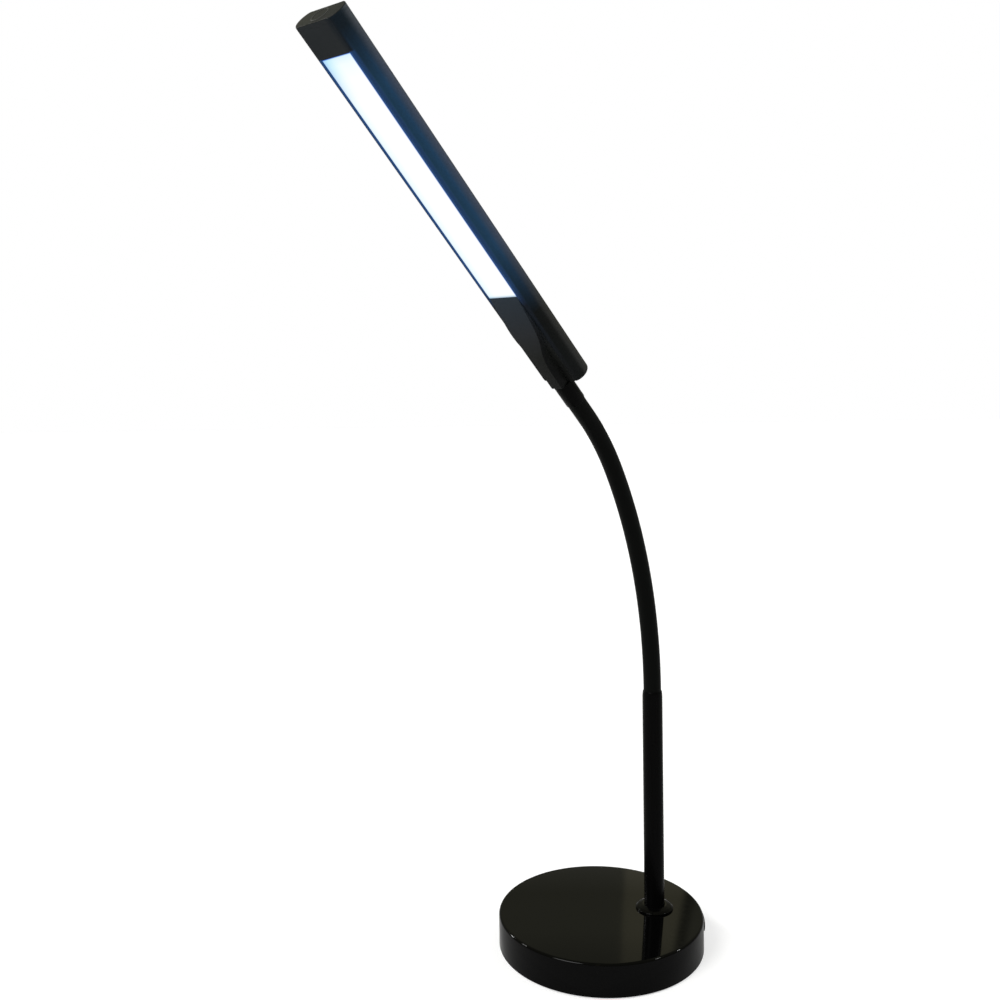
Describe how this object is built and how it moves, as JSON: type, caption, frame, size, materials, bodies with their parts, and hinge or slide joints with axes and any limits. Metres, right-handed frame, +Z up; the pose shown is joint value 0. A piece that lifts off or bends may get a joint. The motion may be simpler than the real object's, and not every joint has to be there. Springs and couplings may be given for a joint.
{
  "type": "desk lamp",
  "caption": "Desk lamp with a round weighted base, an upright stem, a flexible gooseneck and a slim straight LED head with a touch switch on its end.",
  "frame": {"origin": "centre of the base's underside, on the desk", "axes": "+Z up; +Y to the back, where the stem stands and the cord leaves; the neck is bent forward and 44.1 degrees from -Y towards +X at rest"},
  "size_m": [0.307, 0.2752, 0.6165],
  "materials": {
    "cover": "high gloss black ABS, moulded",
    "ballast": "rough cast, black primer",
    "pad": "matt EVA foam",
    "inlet": "matt black",
    "terminals": "natural nylon",
    "stem": "semi-gloss black over steel",
    "fittings": "zinc plated",
    "leads": "grey PVC",
    "sleeve": "smooth black PVC sleeve with a soft sheen",
    "ferrule": "semi-gloss black over brass",
    "housing": "fine-grained black ABS",
    "fairing": "fine-grained black ABS",
    "end_cap": "fine-grained black ABS",
    "diffuser": "opal PMMA, lit from behind",
    "reflector": "white",
    "led_board": "white solder mask over a metal core",
    "leds": "phosphor under silicone",
    "spreader": "mill finish",
    "cradle": "die-cast, as cast",
    "electrode": "copper foil",
    "touch_board": "green solder mask",
    "touch_ring": "grey ink on a raised ring"
  },
  "bodies": {
    "base": {"base_cover": "cover", "ballast": "ballast", "base_pad": "pad", "cord_inlet": "inlet", "terminal_block": "terminals", "stem_tube": "stem", "stem_collar": "stem", "stem_nipple": "fittings", "stem_nut": "fittings", "stem_lead": "leads", "neck_root": "sleeve"},
    "neck_link_01": {"neck_link_01": "sleeve"},
    "neck_link_02": {"neck_link_02": "sleeve"},
    "neck_link_03": {"neck_link_03": "sleeve"},
    "neck_link_04": {"neck_link_04": "sleeve"},
    "neck_link_05": {"neck_link_05": "sleeve"},
    "neck_link_06": {"neck_link_06": "sleeve"},
    "head": {"neck_top": "sleeve", "neck_ferrule": "ferrule", "head_housing": "housing", "head_fairing": "fairing", "diffuser": "diffuser", "reflector": "reflector", "led_board": "led_board", "leds": "leds", "heat_spreader": "spreader", "neck_cradle": "cradle", "neck_strap": "fittings", "end_cap": "end_cap", "touch_ring": "touch_ring", "touch_electrode": "electrode", "touch_board": "touch_board", "head_lead": "leads"}
  },
  "joints": [
    {"name": "neck_bend_1", "type": "hinge", "parent": "base", "child": "neck_link_01", "pos_m": [0.00007, 0.04043, 0.1911], "axis": [0.7181, 0.6959, 0], "range_deg": [-12, 13]},
    {"name": "neck_sway_1", "type": "hinge", "parent": "neck_link_01", "child": "neck_link_02", "pos_m": [0.00228, 0.03814, 0.22911], "axis": [-0.6889, 0.7109, 0.1419], "range_deg": [-13, 13]},
    {"name": "neck_bend_2", "type": "hinge", "parent": "neck_link_02", "child": "neck_link_03", "pos_m": [0.00759, 0.03267, 0.26649], "axis": [0.7181, 0.6959, 0], "range_deg": [-12, 13]},
    {"name": "neck_sway_2", "type": "hinge", "parent": "neck_link_03", "child": "neck_link_04", "pos_m": [0.01591, 0.02408, 0.30271], "axis": [-0.6468, 0.6675, 0.3688], "range_deg": [-13, 13]},
    {"name": "neck_bend_3", "type": "hinge", "parent": "neck_link_04", "child": "neck_link_05", "pos_m": [0.02714, 0.0125, 0.33727], "axis": [0.7181, 0.6959, 0], "range_deg": [-12, 13]},
    {"name": "neck_sway_3", "type": "hinge", "parent": "neck_link_05", "child": "neck_link_06", "pos_m": [0.04142, -0.00225, 0.36939], "axis": [-0.547, 0.5645, 0.6182], "range_deg": [-13, 13]},
    {"name": "neck_bend_4", "type": "hinge", "parent": "neck_link_06", "child": "head", "pos_m": [0.05988, -0.02129, 0.39676], "axis": [0.7181, 0.6959, 0], "range_deg": [-12, 13]}
  ]
}
